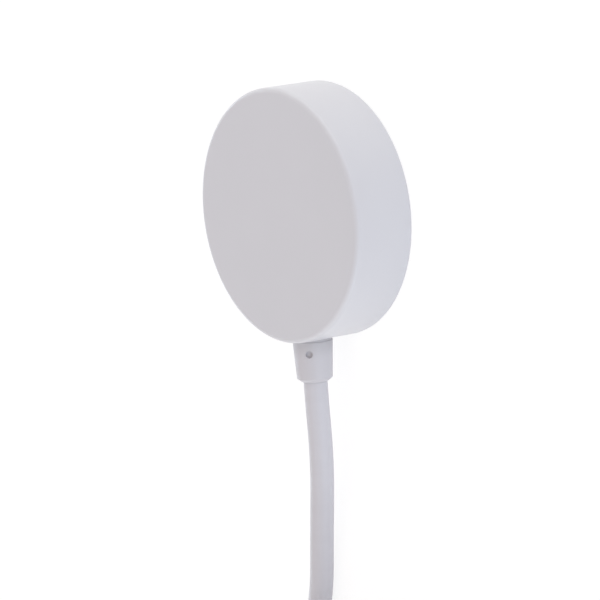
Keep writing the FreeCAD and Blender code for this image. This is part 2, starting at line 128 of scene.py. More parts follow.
# The floor's radius in metres, and how white the lamps and the sky make it where it is
# open, from 0 to 1
FLOOR_RADIUS = 6.0
FLOOR_LIGHT = 0.6

# The free cord's route from inside the puck to the coil, chosen point by point, in metres
CORD_ROUTE = [
    (0.0, -0.0110, 0.00385),
    (0.0, -0.0194, 0.00385),
    (-0.0001, -0.0278, 0.00345),
    (-0.0030, -0.0362, 0.00195),
    (-0.0044, -0.0450, 0.00155),
    (-0.0086, -0.0518, 0.001335),
]
CORD_HEIGHT = CORD_ROUTE[0][2] / MM

# The route from the coil to the plug, in metres
TAIL_ROUTE = [
    (-0.0102, -0.0827, 0.0094),
    (-0.0079, -0.0914, 0.0038),
    (-0.0079, -0.1019, 0.0038),
]

# Where a noise starts and ends to drift from one tone to the other
RAMP_STOPS = (0.35, 0.65)

# Tints of the studio's light
COOL = (0.67, 0.83, 1.00)
PLAIN = (0.94, 1.00, 0.99)
WARM = (1.00, 0.95, 0.88)

# Softboxes: name, azimuth and elevation in degrees, distance, width and height in
# metres, radiance and tint
SOFTBOXES = [
    ("far_side", 180.0, 8.0, 0.60, 0.70, 0.16, 2.9, PLAIN),
    ("far_high", 180.0, 35.0, 0.60, 0.60, 0.35, 0.4, WARM),
    ("far_right", 135.0, 10.0, 0.70, 0.50, 0.20, 1.5, COOL),
    ("camera_side", 90.0, 5.0, 0.70, 0.60, 0.11, 2.5, COOL),
    ("near_right", 45.0, 10.0, 0.70, 0.50, 0.20, 2.9, COOL),
    ("near_side", 0.0, 8.0, 0.70, 0.70, 0.18, 2.6, PLAIN),
    ("near_high", 0.0, 35.0, 0.70, 0.60, 0.35, 0.65, WARM),
    ("overhead", 0.0, 90.0, 0.70, 0.60, 0.60, 0.3, WARM),
    ("left_side", 270.0, 8.0, 0.70, 0.60, 0.18, 2.2, COOL),
    ("left_high", 270.0, 45.0, 0.70, 0.60, 0.35, 0.7, COOL),
]


def size(label, text, value):
    """A length in millimetres that a user may change."""
    return bpy.props.FloatProperty(
        name=label, description=text, default=value, min=0.0, subtype="DISTANCE_CAMERA",
    )


def angle(label, text, degrees):
    return bpy.props.FloatProperty(
        name=label, description=text, default=math.radians(degrees), subtype="ANGLE",
    )


def share(label, text, value):
    return bpy.props.FloatProperty(
        name=label, description=text, default=value, min=0.0, max=1.0, subtype="FACTOR",
    )


def count(label, text, value, low=1):
    return bpy.props.IntProperty(name=label, description=text, default=value, min=low)


def colour(label, text, value):
    return bpy.props.FloatVectorProperty(
        name=label, description=text, default=value, size=3, min=0.0, max=1.0, subtype="COLOR",
    )


class PuckSizes(bpy.types.PropertyGroup):
    """Sizes of the puck's housing and charging face."""
    radius: size("Radius", "Outer radius of the housing", HOUSING_HIGH.x)
    height: size("Height", "Height of the housing, lip to back", HOUSING_HIGH.z)
    back_round: size("Back round", "Rounding between the back and the side wall", 0.65)
    crown_drop: size("Crown drop", "How far the back drops just inside that rounding", 0.05)
    crown_width: size("Crown width", "Width of the band in which the back drops", 2.0)
    lip_round: size("Lip round", "Rounding at the lip's outer edge", 0.4)
    side_wall: size("Side wall", "Thickness of the side wall", 1.7)
    back_wall: size("Back wall", "Thickness of the back", 1.2)
    cavity_round: size("Cavity round", "Rounding inside, at the back", 0.5)
    lip_wall: size("Lip wall", "Thickness of the lip round the charging face", 1.1)
    seat: size("Seat", "Height of the ledge that the face stands under", FACE_LOW.z + FACE_RIM)
    boss_flat: size("Boss flat", "Distance of the flat at the cord's entry from the axis", 12.0)
    post_radius: size("Post radius", "Radius of the three posts on the board", 0.8)
    post_circle: size("Post circle", "Radius of the circle that the posts stand on", 11.1)
    face_radius: size("Face radius", "Outer radius of the charging face", FACE_HIGH.x)
    face_chamfer: size("Face chamfer", "Broken edge of the charging face", 0.15)
    dish_radius: size("Dish radius", "Radius of the dish that the watch sits in", 12.0)
    dish_depth: size("Dish depth", "Depth of the dish at its middle", 1.0)
    face_skin: size("Face skin", "Thickness of the charging face behind the dish", 0.8)


class CordSizes(bpy.types.PropertyGroup):
    """Sizes of the cord, its collar, the coil and the tie."""
    diameter: size("Diameter", "Diameter of the cord", 2.63)
    length: size("Length", "Whole length of the cord", 1000.0)
    collar_root: size("Collar root", "Diameter of the collar at the puck", 4.42)
    collar_tip: size("Collar tip", "Diameter of the collar at its end", 3.94)
    collar_nose: size("Collar nose", "Length of the blunt cone at the collar's end", 0.4)
    collar_mouth: size("Collar mouth", "Diameter of the collar's end face", 2.8)
    hole_diameter: size("Hole", "Diameter of the blind hole in the collar", 0.8)
    hole_from_rim: size("Hole place", "Distance of the hole from the puck's rim", 1.45)
    hole_depth: size("Hole depth", "Depth of the blind hole", 0.4)
    groove_width: size("Groove width", "Width of the fine groove between collar and puck", 0.14)
    groove_depth: size("Groove depth", "Depth of that groove", 0.08)
    # Painted shade: the collar's colour is darkened next to the puck, standing in for the shade
    # that the puck casts on it
    root_painted_shade: share("Root painted shade", "Brightness that the collar loses next to the puck", 0.16)
    painted_shade_reach: size("Painted shade reach", "Distance over which that tone fades out", 2.2)
    mouth_gap: size("Mouth gap", "Gap round the cord at the collar's end", 0.09)
    mouth_depth: size("Mouth depth", "Depth of that gap", 0.3)
    hole_angle: angle("Hole angle", "Angle of the hole from straight up", 40.0)
    lay: size("Lay", "Height of the cord's middle where it lies down", 1.335)
    ring_mean: size("Ring radius", "Middle radius of the coil", 14.5)
    ring_reach: size("Ring reach", "Reach of the coil's turns about that radius", 3.03)
    ring_rows: count("Rows", "Rows of turns", 4)
    row_step: size("Row step", "Height from one row to the next", 2.735)
    entry: angle("Entry", "Angle at which the cord comes to the coil", 158.7)
    leave: angle("Leave", "Angle at which the cord leaves the coil", 195.0)
    turns_whole: count("Whole turns", "Whole turns between the two", 10)
    rise_turns: share("Rise", "Part of a turn in which the cord climbs a row", 0.35)
    points_a_turn: count("Points", "Control points in one turn", 16, 12)
    tie_angle: angle("Tie angle", "Where on the coil the tie sits", 50.0)
    tie_width: size("Tie width", "Width of the tie", 7.0)
    tie_thick: size("Tie thickness", "Thickness of the tie's strap", 0.45)


class PlugSizes(bpy.types.PropertyGroup):
    """Sizes of the plug."""
    cover_corner: size("Cover corner", "Rounding of the grip's long edges", 2.4)
    cover_rear_round: size("Rear round", "Rounding at the grip's cord end", 1.5)
    cover_front_round: size("Front round", "Rounding at the grip's shell end", 0.4)
    cover_wall: size("Cover wall", "Thickness of the grip's wall", 1.0)
    cover_rear_wall: size("Rear wall", "Thickness at the cord end", 2.0)
    boot_tip: size("Boot tip", "Diameter of the boot at the cord", 3.7)
    boot_nose: size("Boot nose", "Length of the boot's blunt end", 0.4)
    shell_wall: size("Shell wall", "Thickness of the sheet steel", 0.3)
    shell_corner: size("Shell corner", "Outer rounding of the folded corners", 0.6)
    shell_seat: size("Shell seat", "How far the shell goes into the grip", 6.5)
    shell_slit: size("Seam", "Gap of the butt seam underneath", 0.1)
    window: size("Window", "Side of the square windows", 2.0)
    window_spread: size("Window spread", "Distance between two windows", 4.5)
    window_from_tip: size("Window place", "Middle of the windows from the tip", 5.16)
    tongue_thick: size("Tongue", "Thickness of the tongue", 1.84)
    tongue_chamfer: size("Tongue chamfer", "Broken edge at the tongue's tip", 0.5)
    pin_width: size("Contact width", "Width of one contact", 1.0)


class Finishes(bpy.types.PropertyGroup):
    """Colours of the outer surfaces."""
    housing: colour("Housing", "White of the puck", (0.745, 0.745, 0.765))
    face: colour("Charging face", "White of the dished face", (0.76, 0.76, 0.775))
    collar: colour("Collar", "White of the collar and boot", (0.70, 0.69, 0.71))
    cord: colour("Cord", "White of the cord's jacket", (0.745, 0.74, 0.765))
    strap: colour("Strap", "Grey of the tie", (0.62, 0.62, 0.64))
    steel: colour("Steel", "Nickel plated steel", (0.62, 0.61, 0.59))
    gold: colour("Gold", "Plating of the contacts", (0.83, 0.60, 0.24))
    insulator: colour("Insulator", "White of the tongue", (0.74, 0.74, 0.73))


class StudioSettings(bpy.types.PropertyGroup):
    """Camera, floor and light."""
    azimuth: angle("Azimuth", "The camera's azimuth, from -Y towards +X", 101.016)
    elevation: angle("Elevation", "The camera's elevation", 36.370)
    roll: angle("Roll", "The camera's roll", -100.178)
    distance: size("Distance", "From the camera to what it aims at", 497.717)
    aim: bpy.props.FloatVectorProperty(
        name="Aim", description="Point at the picture's middle, in millimetres",
        default=(0.511, -9.430, 5.615), size=3,
    )
    lens: size("Lens", "Focal length", 274.26)
    sensor: size("Sensor", "Width of the sensor", 36.0)
    sky: bpy.props.FloatProperty(
        name="Sky", description="Even light from all round", default=1.0, min=0.0,
    )
    sky_tint: colour("Sky tint", "Colour of the even light", (0.470, 0.422, 0.426))
    floor: colour("Floor", "Colour of the table", (0.97, 0.97, 0.97))
    floor_shade: share("Floor shade", "How much of the shadow the white floor shows", 0.3)


# Forms in millimetres

def turned_form(profile, centre=(0, 0, 0), axis=UP, steps=256):
    """A form turned about an axis, from (radius, place along the axis) points."""
    bm = bmesh.new()
    origin = Vector(centre)
    line = [bm.verts.new(origin + ACROSS * r + axis * along) for r, along in profile]
    edges = [bm.edges.new(pair) for pair in zip(line, line[1:])]
    bmesh.ops.spin(
        bm, geom=line + edges, cent=origin, axis=axis, dvec=(0, 0, 0),
        angle=2 * math.pi, steps=steps, use_merge=True, use_duplicate=False,
    )
    bmesh.ops.remove_doubles(bm, verts=bm.verts, dist=MERGED)
    bmesh.ops.recalc_face_normals(bm, faces=bm.faces)
    return bm


def arc(centre, radius, start, end, steps):
    """Points of an arc of a profile, angles in degrees."""
    r, along = centre
    turns = [math.radians(start + (end - start) * step / steps) for step in range(steps + 1)]
    return [(r + radius * math.cos(turn), along + radius * math.sin(turn)) for turn in turns]


def crown(inner, outer, high, drop, steps):
    """Points of a profile that falls away more and more from a flat."""
    shares = [step / steps for step in range(steps + 1)]
    return [(inner + (outer - inner) * s, high - drop * s * s) for s in shares]


def bar(width, height, start, length, corner, segments):
    """A bar along -Y on the plug's axis, with rounded long edges."""
    bm = bmesh.new()
    place = Vector((PLUG_AXIS.x, start - length / 2, PLUG_AXIS.z))
    bmesh.ops.create_cube(bm, size=1.0)
    bmesh.ops.scale(bm, vec=(width, length, height), verts=bm.verts)
    bmesh.ops.translate(bm, vec=place, verts=bm.verts)
    edges = [e for e in bm.edges if abs(e.verts[0].co.y - e.verts[1].co.y) > length / 2]
    round_edges(bm, edges, corner, segments)
    return bm


def round_edges(bm, edges, radius, segments):
    bmesh.ops.bevel(
        bm, geom=edges, offset=radius, offset_type="OFFSET", segments=segments,
        profile=0.5, material=-1, affect="EDGES", clamp_overlap=True,
    )


def end_edges(bm, place):
    """The edges of the end face at y = place."""
    return [e for e in bm.edges if all(abs(v.co.y - place) < IN_PLACE for v in e.verts)]


def block(low, high, form=None):
    """A box between two corners, on its own or as one more in a form."""
    bm = bmesh.new() if form is None else form
    low, high = Vector(low), Vector(high)
    corners = bmesh.ops.create_cube(bm, size=1.0)["verts"]
    bmesh.ops.scale(bm, vec=high - low, verts=corners)
    bmesh.ops.translate(bm, vec=(low + high) / 2, verts=corners)
    return bm


def rod(radius, start, end, steps=64):
    """A cylinder from one point to another."""
    bm = bmesh.new()
    start, end = Vector(start), Vector(end)
    bmesh.ops.create_cone(
        bm, cap_ends=True, segments=steps, radius1=radius, radius2=radius,
        depth=(end - start).length,
    )
    turn = UP.rotation_difference(end - start).to_matrix().to_4x4()
    place = Matrix.Translation((start + end) / 2) @ turn
    bmesh.ops.transform(bm, matrix=place, verts=bm.verts)
    return bm


def placed(name, data):
    """A new object in the scene, made of this data."""
    made = bpy.data.objects.new(name, data)
    bpy.context.scene.collection.objects.link(made)
    return made


def mesh_object(bm, name):
    """Turns a form into an object of the scene."""
    mesh = bpy.data.meshes.new(name)
    bm.to_mesh(mesh)
    bm.free()
    return placed(name, mesh)


def combined(bm, others, operation):
    """The first form with the others cut away or joined on."""
    base = mesh_object(bm, "form")
    tools = [mesh_object(other, "form") for other in others]
    for tool in tools:
        modifier = base.modifiers.new("combine", "BOOLEAN")
        modifier.operation = operation
        modifier.solver = "EXACT"
        modifier.object = tool
    depsgraph = bpy.context.evaluated_depsgraph_get()
    mesh = bpy.data.meshes.new_from_object(base.evaluated_get(depsgraph))
    made = bmesh.new()
    made.from_mesh(mesh)
    bpy.data.meshes.remove(mesh)
    for done in [base] + tools:
        old = done.data
        bpy.data.objects.remove(done)
        bpy.data.meshes.remove(old)
    bmesh.ops.remove_doubles(made, verts=made.verts, dist=MERGED)
    return made


def finished(bm, name, node, material, crease=30.0):
    """Puts a form into the frame as a piece that stands for a node."""
    bmesh.ops.scale(bm, vec=(MM, MM, MM), verts=bm.verts)
    for face in bm.faces:
        face.smooth = True
    for edge in bm.edges:
        if len(edge.link_faces) == 2 and edge.calc_face_angle() > math.radians(crease):
            edge.smooth = False
    dressed(mesh_object(bm, name), [node], material)


def dressed(piece, nodes, material):
    """Gives a piece its material and says where it belongs."""
    piece.data.materials.append(material)
    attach(piece, BODY)
    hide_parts(*nodes)


# Materials

def setup(tree, node, **settings):
    """Sets a node's sockets, links those that are given a source, and sets its options."""
    for key, value in settings.items():
        socket = node.inputs.get(key.replace("_", " "))
        if socket is None:
            setattr(node, key, value)
        elif isinstance(value, bpy.types.NodeSocket):
            tree.links.new(value, socket)
        else:
            socket.default_value = value
    return node


def add_node(tree, kind, **settings):
    return setup(tree, tree.nodes.new(kind), **settings)


class Recipe:
    """A small helper that lays out one material's nodes."""

    def __init__(self, name):
        self.material = bpy.data.materials.new(name)
        self.material.use_nodes = True
        self.tree = self.material.node_tree
        self.place = self.add("ShaderNodeTexCoord").outputs["Object"]

    def add(self, kind, **settings):
        return add_node(self.tree, kind, **settings)

    def set(self, **settings):
        setup(self.tree, self.tree.nodes["Principled BSDF"], **settings)

    def stretched(self, scale):
        """Object coordinates scaled along each axis."""
        return self.add("ShaderNodeMapping", Vector=self.place, Scale=scale).outputs["Vector"]

    def noise(self, scale, detail=2.0, place=None):
        place = place or self.place
        node = self.add("ShaderNodeTexNoise", Vector=place, Scale=scale, Detail=detail)
        return node.outputs["Fac"]

    def between(self, factor, low, high):
        """A colour that drifts between two close tones."""
        ramp = self.add("ShaderNodeValToRGB", Fac=factor)
        for stop, place, shade in zip(ramp.color_ramp.elements, RAMP_STOPS, (low, high)):
            stop.position = place
            stop.color = (*shade, 1.0)
        self.set(Base_Color=ramp.outputs["Color"])

    def drifting(self, factor, base, drift):
        """The base colour, drifting a little darker and lighter."""
        self.between(factor, tone(base, -drift), tone(base, drift))

    def rough(self, factor, low, high):
        node = self.add("ShaderNodeMapRange", Value=factor, To_Min=low, To_Max=high)
        self.set(Roughness=node.outputs["Result"])

    def bumped(self, height, distance):
        node = self.add("ShaderNodeBump", Height=height, Strength=1.0, Distance=distance)
        self.set(Normal=node.outputs["Normal"])


def tone(base, change):
    """A colour made lighter or darker by a share."""
    return tuple(min(1.0, channel * (1.0 + change)) for channel in base)


def moulded_plastic(name, base, roughness, drift=0.006, grain=5200.0, depth=1.2e-6, gloss=0.5):
    """White or coloured moulded plastic with a fine spark-eroded grain."""
    recipe = Recipe(name)
    recipe.drifting(recipe.noise(90.0, 3.0), base, drift)
    recipe.rough(recipe.noise(260.0), roughness - 0.03, roughness + 0.03)
    recipe.bumped(recipe.noise(grain, 3.0), depth)
    recipe.set(Specular_IOR_Level=gloss)
    return recipe.material


def collar_plastic(name, base):
    """The softer, duller plastic of the collar and the boot."""
    return moulded_plastic(name, base, 0.46, drift=0.008, grain=4200.0, depth=1.5e-6)


def socket_of(sockets, identifier):
    """One socket of a Mix node, where several share a name."""
    return next(socket for socket in sockets if socket.identifier == identifier)


def painted_shade_towards(material, dark, plain, amount):
    """Paints shade into a material's colour: takes some brightness off, most at y = dark and none
    from y = plain on.
    """
    tree = material.node_tree
    target = tree.nodes["Principled BSDF"].inputs["Base Color"]
    place = add_node(tree, "ShaderNodeTexCoord").outputs["Object"]
    split = add_node(tree, "ShaderNodeSeparateXYZ", Vector=place)
    fade = add_node(
        tree, "ShaderNodeMapRange", interpolation_type="SMOOTHSTEP", Value=split.outputs["Y"],
        From_Min=dark, From_Max=plain, To_Min=amount, To_Max=0.0,
    )
    mix = add_node(
        tree, "ShaderNodeMix", data_type="RGBA", blend_type="MULTIPLY",
        Factor=fade.outputs["Result"],
    )
    socket_of(mix.inputs, "B_Color").default_value = (0.0, 0.0, 0.0, 1.0)
    tree.links.new(target.links[0].from_socket, socket_of(mix.inputs, "A_Color"))
    tree.links.new(socket_of(mix.outputs, "Result_Color"), target)


def soft_jacket(name, base, roughness):
    """Soft extruded jacket: faint waves along it and a fine matt grain."""
    recipe = Recipe(name)
    along = recipe.noise(1.0, place=recipe.stretched((160.0, 900.0, 160.0)))
    recipe.drifting(along, base, 0.008)
    recipe.rough(recipe.noise(500.0), roughness - 0.04, roughness + 0.04)
    recipe.bumped(recipe.noise(3800.0, 3.0), 1.8e-6)
    return recipe.material


def woven_strap(name, base):
    """Woven loop tape: fine warp and weft threads with a soft pile, on the strap's own UV."""
    recipe = Recipe(name)
    uv = recipe.add("ShaderNodeUVMap", uv_map="strap").outputs["UV"]
    weave = recipe.add("ShaderNodeMath", operation="MAXIMUM")
    for thread, direction in zip(weave.inputs, "XY"):
        wave = recipe.add(
            "ShaderNodeTexWave", wave_type="BANDS", bands_direction=direction, Vector=uv,
            Scale=0.85, Distortion=1.4, Detail_Scale=1.5,
        )
        recipe.tree.links.new(wave.outputs["Fac"], thread)
    recipe.between(weave.outputs["Value"], tone(base, -0.22), tone(base, 0.05))
    recipe.bumped(weave.outputs["Value"], 6e-5)
    recipe.set(Roughness=0.9, Sheen_Weight=0.35, Sheen_Roughness=0.5)
    return recipe.material


def rolled_metal(name, base, roughness, direction):
    """Metal with faint rolling lines, close together along the axes of a large scale."""
    recipe = Recipe(name)
    lines = recipe.noise(1.0, 4.0, recipe.stretched(direction))
    recipe.drifting(lines, base, 0.05)
    recipe.rough(lines, roughness - 0.06, roughness + 0.08)
    recipe.bumped(lines, 1.5e-6)
    recipe.set(Metallic=1.0)
    return recipe.material


def sintered(name, base, roughness, speck=0.25):
    """Dark or tan ceramic with a fine grain."""
    recipe = Recipe(name)
    recipe.drifting(recipe.noise(4200.0, 4.0), base, speck)
    recipe.rough(recipe.noise(900.0), roughness - 0.08, roughness + 0.08)
    recipe.bumped(recipe.noise(6000.0, 3.0), 4e-6)
    return recipe.material


def solder_mask(name, base):
    """Green board with faint copper areas under the mask."""
    recipe = Recipe(name)
    tracks = recipe.add(
        "ShaderNodeTexVoronoi", feature="F1", distance="CHEBYCHEV", Vector=recipe.place,
        Scale=480.0,
    ).outputs["Distance"]
    recipe.between(tracks, tone(base, 0.45), base)
    recipe.bumped(tracks, 2e-5)
    recipe.set(Roughness=0.32)
    return recipe.material


def amber_film(name, base):
    """Thin, smooth polyimide film."""
    recipe = Recipe(name)
    recipe.drifting(recipe.noise(300.0), base, 0.08)
    recipe.bumped(recipe.noise(1400.0), 3e-6)
    recipe.set(Roughness=0.22)
    return recipe.material


# For each inner piece: the recipe, and then its name, colour and further settings
INNER_FINISHES = {
    "charge_coil": (
        rolled_metal, "enamelled_copper", (0.72, 0.36, 0.20), 0.30, (900.0, 900.0, 9000.0)),
    "ferrite_core": (sintered, "ferrite", (0.075, 0.075, 0.08), 0.55),
    "coil_insulator": (amber_film, "amber_film", (0.62, 0.30, 0.05)),
    "coil_carrier": (moulded_plastic, "carrier_grey", (0.46, 0.46, 0.47), 0.55, 0.02),
    "alignment_magnet": (
        rolled_metal, "nickel_plate", (0.66, 0.64, 0.61), 0.24, (700.0, 700.0, 700.0)),
    "magnet_cup": (
        rolled_metal, "drawn_steel", (0.52, 0.52, 0.52), 0.38, (500.0, 500.0, 6000.0)),
    "circuit_board": (solder_mask, "board_green", (0.02, 0.13, 0.055)),
    "controller_chip": (sintered, "chip_moulding", (0.03, 0.03, 0.032), 0.6, 0.15),
    "driver_chip": (sintered, "driver_moulding", (0.035, 0.034, 0.036), 0.58, 0.15),
    "filter_choke": (sintered, "choke_ferrite", (0.09, 0.088, 0.085), 0.5),
    "thermistor": (sintered, "thermistor_glaze", (0.05, 0.07, 0.05), 0.35, 0.2),
    "resonant_capacitors": (sintered, "capacitor_tan", (0.46, 0.33, 0.19), 0.4, 0.1),
    "filter_capacitors": (sintered, "capacitor_brown", (0.35, 0.24, 0.14), 0.4, 0.1),
    "supply_lead": (soft_jacket, "lead_red", (0.50, 0.02, 0.015), 0.45),
    "ground_lead": (soft_jacket, "lead_black", (0.025, 0.025, 0.025), 0.45),
    "solder_joints": (
        rolled_metal, "tin_solder", (0.70, 0.70, 0.71), 0.22, (2500.0, 2500.0, 2500.0)),
    "cord_grip": (moulded_plastic, "grip_white", (0.62, 0.61, 0.62), 0.5, 0.02),
}


# Operators

class MakeHousing(bpy.types.Operator):
    """Turn the white back housing, with its cavity, posts and cord bore"""
    bl_idname = "charging_cable.make_housing"
    bl_label = "Make the back housing"

    def execute(self, context):
        sizes, finishes = context.scene.puck_sizes, context.scene.cable_finishes
        radius, height, seat = sizes.radius, sizes.height, sizes.seat
        inner, ceiling = radius - sizes.side_wall, height - sizes.back_wall
        back, lip, hollow = sizes.back_round, sizes.lip_round, sizes.cavity_round
        lip_inner = radius - sizes.lip_wall
        drop, width = sizes.crown_drop, sizes.crown_width
        tilt = math.degrees(math.atan(2 * drop / width))
        turned = math.radians(90 - tilt)
        edge = (radius - back, height - drop - back * math.sin(turned))
        crown_end = edge[0] + back * math.cos(turned)
        profile = [
            (0, height), *crown(crown_end - width, crown_end, height, drop, steps=8),
            *arc(edge, back, 90 - tilt, 0, steps=16)[1:],
            (radius, edge[1] - ROUND_FLAT), (radius, lip + ROUND_FLAT),
            *arc((radius - lip, lip), lip, 0, -90, steps=12),
            (radius - lip - ROUND_FLAT, 0), (lip_inner, 0), (lip_inner, seat), (inner, seat),
            *arc((inner - hollow, ceiling - hollow), hollow, 0, 90, steps=6), (0, ceiling),
        ]
        body = turned_form(profile)

        flange = (GRIP_HIGH.x - GRIP_LOW.x) / 2
        boss = block(
            (-flange, -inner - sizes.side_wall / 2, CORD_HEIGHT - flange),
            (flange, -sizes.boss_flat, CORD_HEIGHT + flange),
        )
        posts = []
        for turn in map(math.radians, POST_ANGLES):
            x, y = sizes.post_circle * math.cos(turn), sizes.post_circle * math.sin(turn)
            foot, top = (x, y, BOARD_HIGH.z), (x, y, ceiling + sizes.back_wall / 2)
            posts.append(rod(sizes.post_radius, foot, top, steps=32))
        body = combined(body, [boss] + posts, "UNION")
        bore = rod(
            context.scene.cord_sizes.diameter / 2 + GRIP_WALL,
            (0, -sizes.boss_flat + PAST, CORD_HEIGHT), (0, -radius - PAST, CORD_HEIGHT),
        )
        body = combined(body, [bore], "DIFFERENCE")
        white = moulded_plastic("housing_white", finishes.housing, 0.34, gloss=0.4)
        finished(body, "puck_housing", "back_housing", white)
        return {"FINISHED"}


class MakeChargingFace(bpy.types.Operator):
    """Turn the dished face that the watch rests on"""
    bl_idname = "charging_cable.make_charging_face"
    bl_label = "Make the charging face"

    def execute(self, context):
        sizes, finishes = context.scene.puck_sizes, context.scene.cable_finishes
        low = FACE_LOW.z
        sphere = (sizes.dish_radius ** 2 + sizes.dish_depth ** 2) / (2 * sizes.dish_depth)
        centre = low + sizes.dish_depth - sphere
        rim = math.degrees(math.acos(sizes.dish_radius / sphere))
        outside = sphere + sizes.face_skin
        back_rim = math.degrees(math.asin((sizes.seat - centre) / outside))
        dish = arc((0, centre), sphere, 90, rim, steps=24)
        back = arc((0, centre), outside, back_rim, 90, steps=24)
        radius, chamfer = sizes.face_radius, sizes.face_chamfer
        edge = [(radius - chamfer, low), (radius, low + chamfer), (radius, sizes.seat)]
        face = turned_form(dish + edge + back)
        white = moulded_plastic(
            "face_white", finishes.face, 0.16, drift=0.004, grain=3000.0, depth=4e-7)
        finished(face, "charging_dish", "charging_face", white)
        return {"FINISHED"}


class MakeCollar(bpy.types.Operator):
    """Turn the tapered collar on the rim, drill its blind hole and paint shade on it next to the
    puck
    """
    bl_idname = "charging_cable.make_collar"
    bl_label = "Make the cord's collar"

    def execute(self, context):
        puck, cord = context.scene.puck_sizes, context.scene.cord_sizes
        root, tip = cord.collar_root / 2, cord.collar_tip / 2
        bore = cord.diameter / 2
        sleeve, open_bore = bore + GRIP_WALL, bore + cord.mouth_gap
        mouth = max(cord.collar_mouth / 2, open_bore + LEAST_LAND)
        groove = root - cord.groove_depth
        start, brim = puck.radius - puck.lip_round, puck.radius + cord.groove_width
        end, sleeve_end = -COLLAR_LOW.y, -GRIP_LOW.y
        shoulder, mouth_floor = end - cord.collar_nose, end - cord.mouth_depth
        fall = EDGE_SOFT * SHOULDER_SLOPE
        profile = [
            (sleeve, start), (groove, start), (groove, brim),
            (root - EDGE_BROKEN, brim), (root, brim + EDGE_BROKEN),
            (tip + TAPER_RISE, shoulder - EDGE_SOFT), (tip - fall, shoulder + fall),
            (mouth + EDGE_SOFT, end - EDGE_SOFT * MOUTH_SLOPE), (mouth, end),
            (open_bore, end), (open_bore, mouth_floor), (bore, mouth_floor),
            (bore, sleeve_end), (sleeve, sleeve_end), (sleeve, start),
        ]
        collar = turned_form(profile, (0, 0, CORD_HEIGHT), ALONG, steps=128)
        self.fit_to_wall(collar, start, puck.radius)
        turn = cord.hole_angle
        outward = Vector((math.sin(turn), 0, math.cos(turn)))
        place = UP * CORD_HEIGHT + ALONG * (puck.radius + cord.hole_from_rim)
        surface = root - EDGE_BROKEN
        hole = rod(
            cord.hole_diameter / 2, place + outward * (surface - cord.hole_depth),
            place + outward * (root + PAST), steps=48,
        )
        collar = combined(collar, [hole], "DIFFERENCE")
        white = collar_plastic("collar_white_painted_shade", context.scene.cable_finishes.collar)
        # Painted shade: the collar darkens towards the puck, standing in for the shade that the
        # puck casts on it
        painted_shade_towards(
            white, -puck.radius * MM, -(puck.radius + cord.painted_shade_reach) * MM, cord.root_painted_shade)
        finished(collar, "cord_collar", "strain_relief_collar", white)
        return {"FINISHED"}

    def fit_to_wall(self, collar, start, radius):
        """Moves the collar's first ring of points onto the puck's round wall."""
        for vertex in collar.verts:
            if abs(vertex.co.y + start) < IN_PLACE:
                vertex.co.y = -math.sqrt(radius ** 2 - vertex.co.x ** 2)


def smoothstep(value):
    value = max(0.0, min(1.0, value))
    return value * value * (3 - 2 * value)


def coil_points(cord):
    """Control points of the wound turns: row on row, inwards and outwards in turn."""
    total = cord.turns_whole + (cord.leave - cord.entry) / (2 * math.pi)
    row_turns = (total - (cord.ring_rows - 1) * cord.rise_turns) / cord.ring_rows
    span = row_turns + cord.rise_turns
    wanted = math.ceil(total * cord.points_a_turn)
    step = total / wanted
    points = []
    for number in range(wanted):
        done = (number + 0.5) * step
        row = min(int(done // span), cord.ring_rows - 1)
        within = done - row * span
        across = min(within / row_turns, 1.0)
        climb = smoothstep((within - row_turns) / cord.rise_turns)
        side = 1 - 2 * across if row % 2 == 0 else 2 * across - 1
        radius = cord.ring_mean + side * cord.ring_reach
        radius /= math.cos(math.pi * step)
        turn = cord.entry + 2 * math.pi * done
        off_tie = abs((turn - cord.tie_angle + math.pi) % (2 * math.pi) - math.pi)
        lift = cord.tie_thick * (1 - smoothstep((off_tie - TIE_HELD) / (TIE_FREE - TIE_HELD)))
        height = cord.lay + (row + climb) * cord.row_step + lift
        points.append((
            COIL_MIDDLE.x + radius * math.cos(turn), COIL_MIDDLE.y + radius * math.sin(turn),
            height,
        ))
    return points


class MakeCord(bpy.types.Operator):
    """Lay the cord on one smooth line from the puck through its coil to the plug"""
    bl_idname = "charging_cable.make_cord"
    bl_label = "Make the cord"

    def execute(self, context):
        cord = context.scene.cord_sizes
        wound = [tuple(MM * value for value in point) for point in coil_points(cord)]
        route = CORD_ROUTE + wound + TAIL_ROUTE
        curve = bpy.data.curves.new("charging_cord", "CURVE")
        curve.dimensions = "3D"
        curve.resolution_u = 8
        curve.bevel_depth = cord.diameter / 2 * MM
        curve.bevel_resolution = 12
        curve.use_fill_caps = True
        spline = curve.splines.new("NURBS")
        spline.points.add(len(route) - 1)
        for point, place in zip(spline.points, route):
            point.co = (*place, 1.0)
        spline.order_u = 3
        spline.use_endpoint_u = True
        spline.use_smooth = True
        white = soft_jacket("cord_white", context.scene.cable_finishes.cord, 0.5)
        nodes = ["cord", "cord_coil", "cord_tail"]
        dressed(placed("charging_cord", curve), nodes, white)
        return {"FINISHED"}


class MakeTie(bpy.types.Operator):
    """Wrap the woven strap round the coil, with its loose end lapped on top"""
    bl_idname = "charging_cable.make_tie"
    bl_label = "Make the storage tie"

    def execute(self, context):
        cord = context.scene.cord_sizes
        radius = cord.diameter / 2 + STRAP_GAP
        inner = cord.ring_mean - cord.ring_reach - radius
        outer = cord.ring_mean + cord.ring_reach + radius
        thick = cord.tie_thick
        top = cord.lay + (cord.ring_rows - 1) * cord.row_step + radius + thick
        bands = [strap_band(inner, outer, top, thick), strap_lap(inner, outer, top, thick)]
        strap = swept_strap(bands, cord)
        material = woven_strap("strap_weave", context.scene.cable_finishes.strap)
        finished(strap, "storage_tie", "cord_tie", material, crease=50.0)
        return {"FINISHED"}


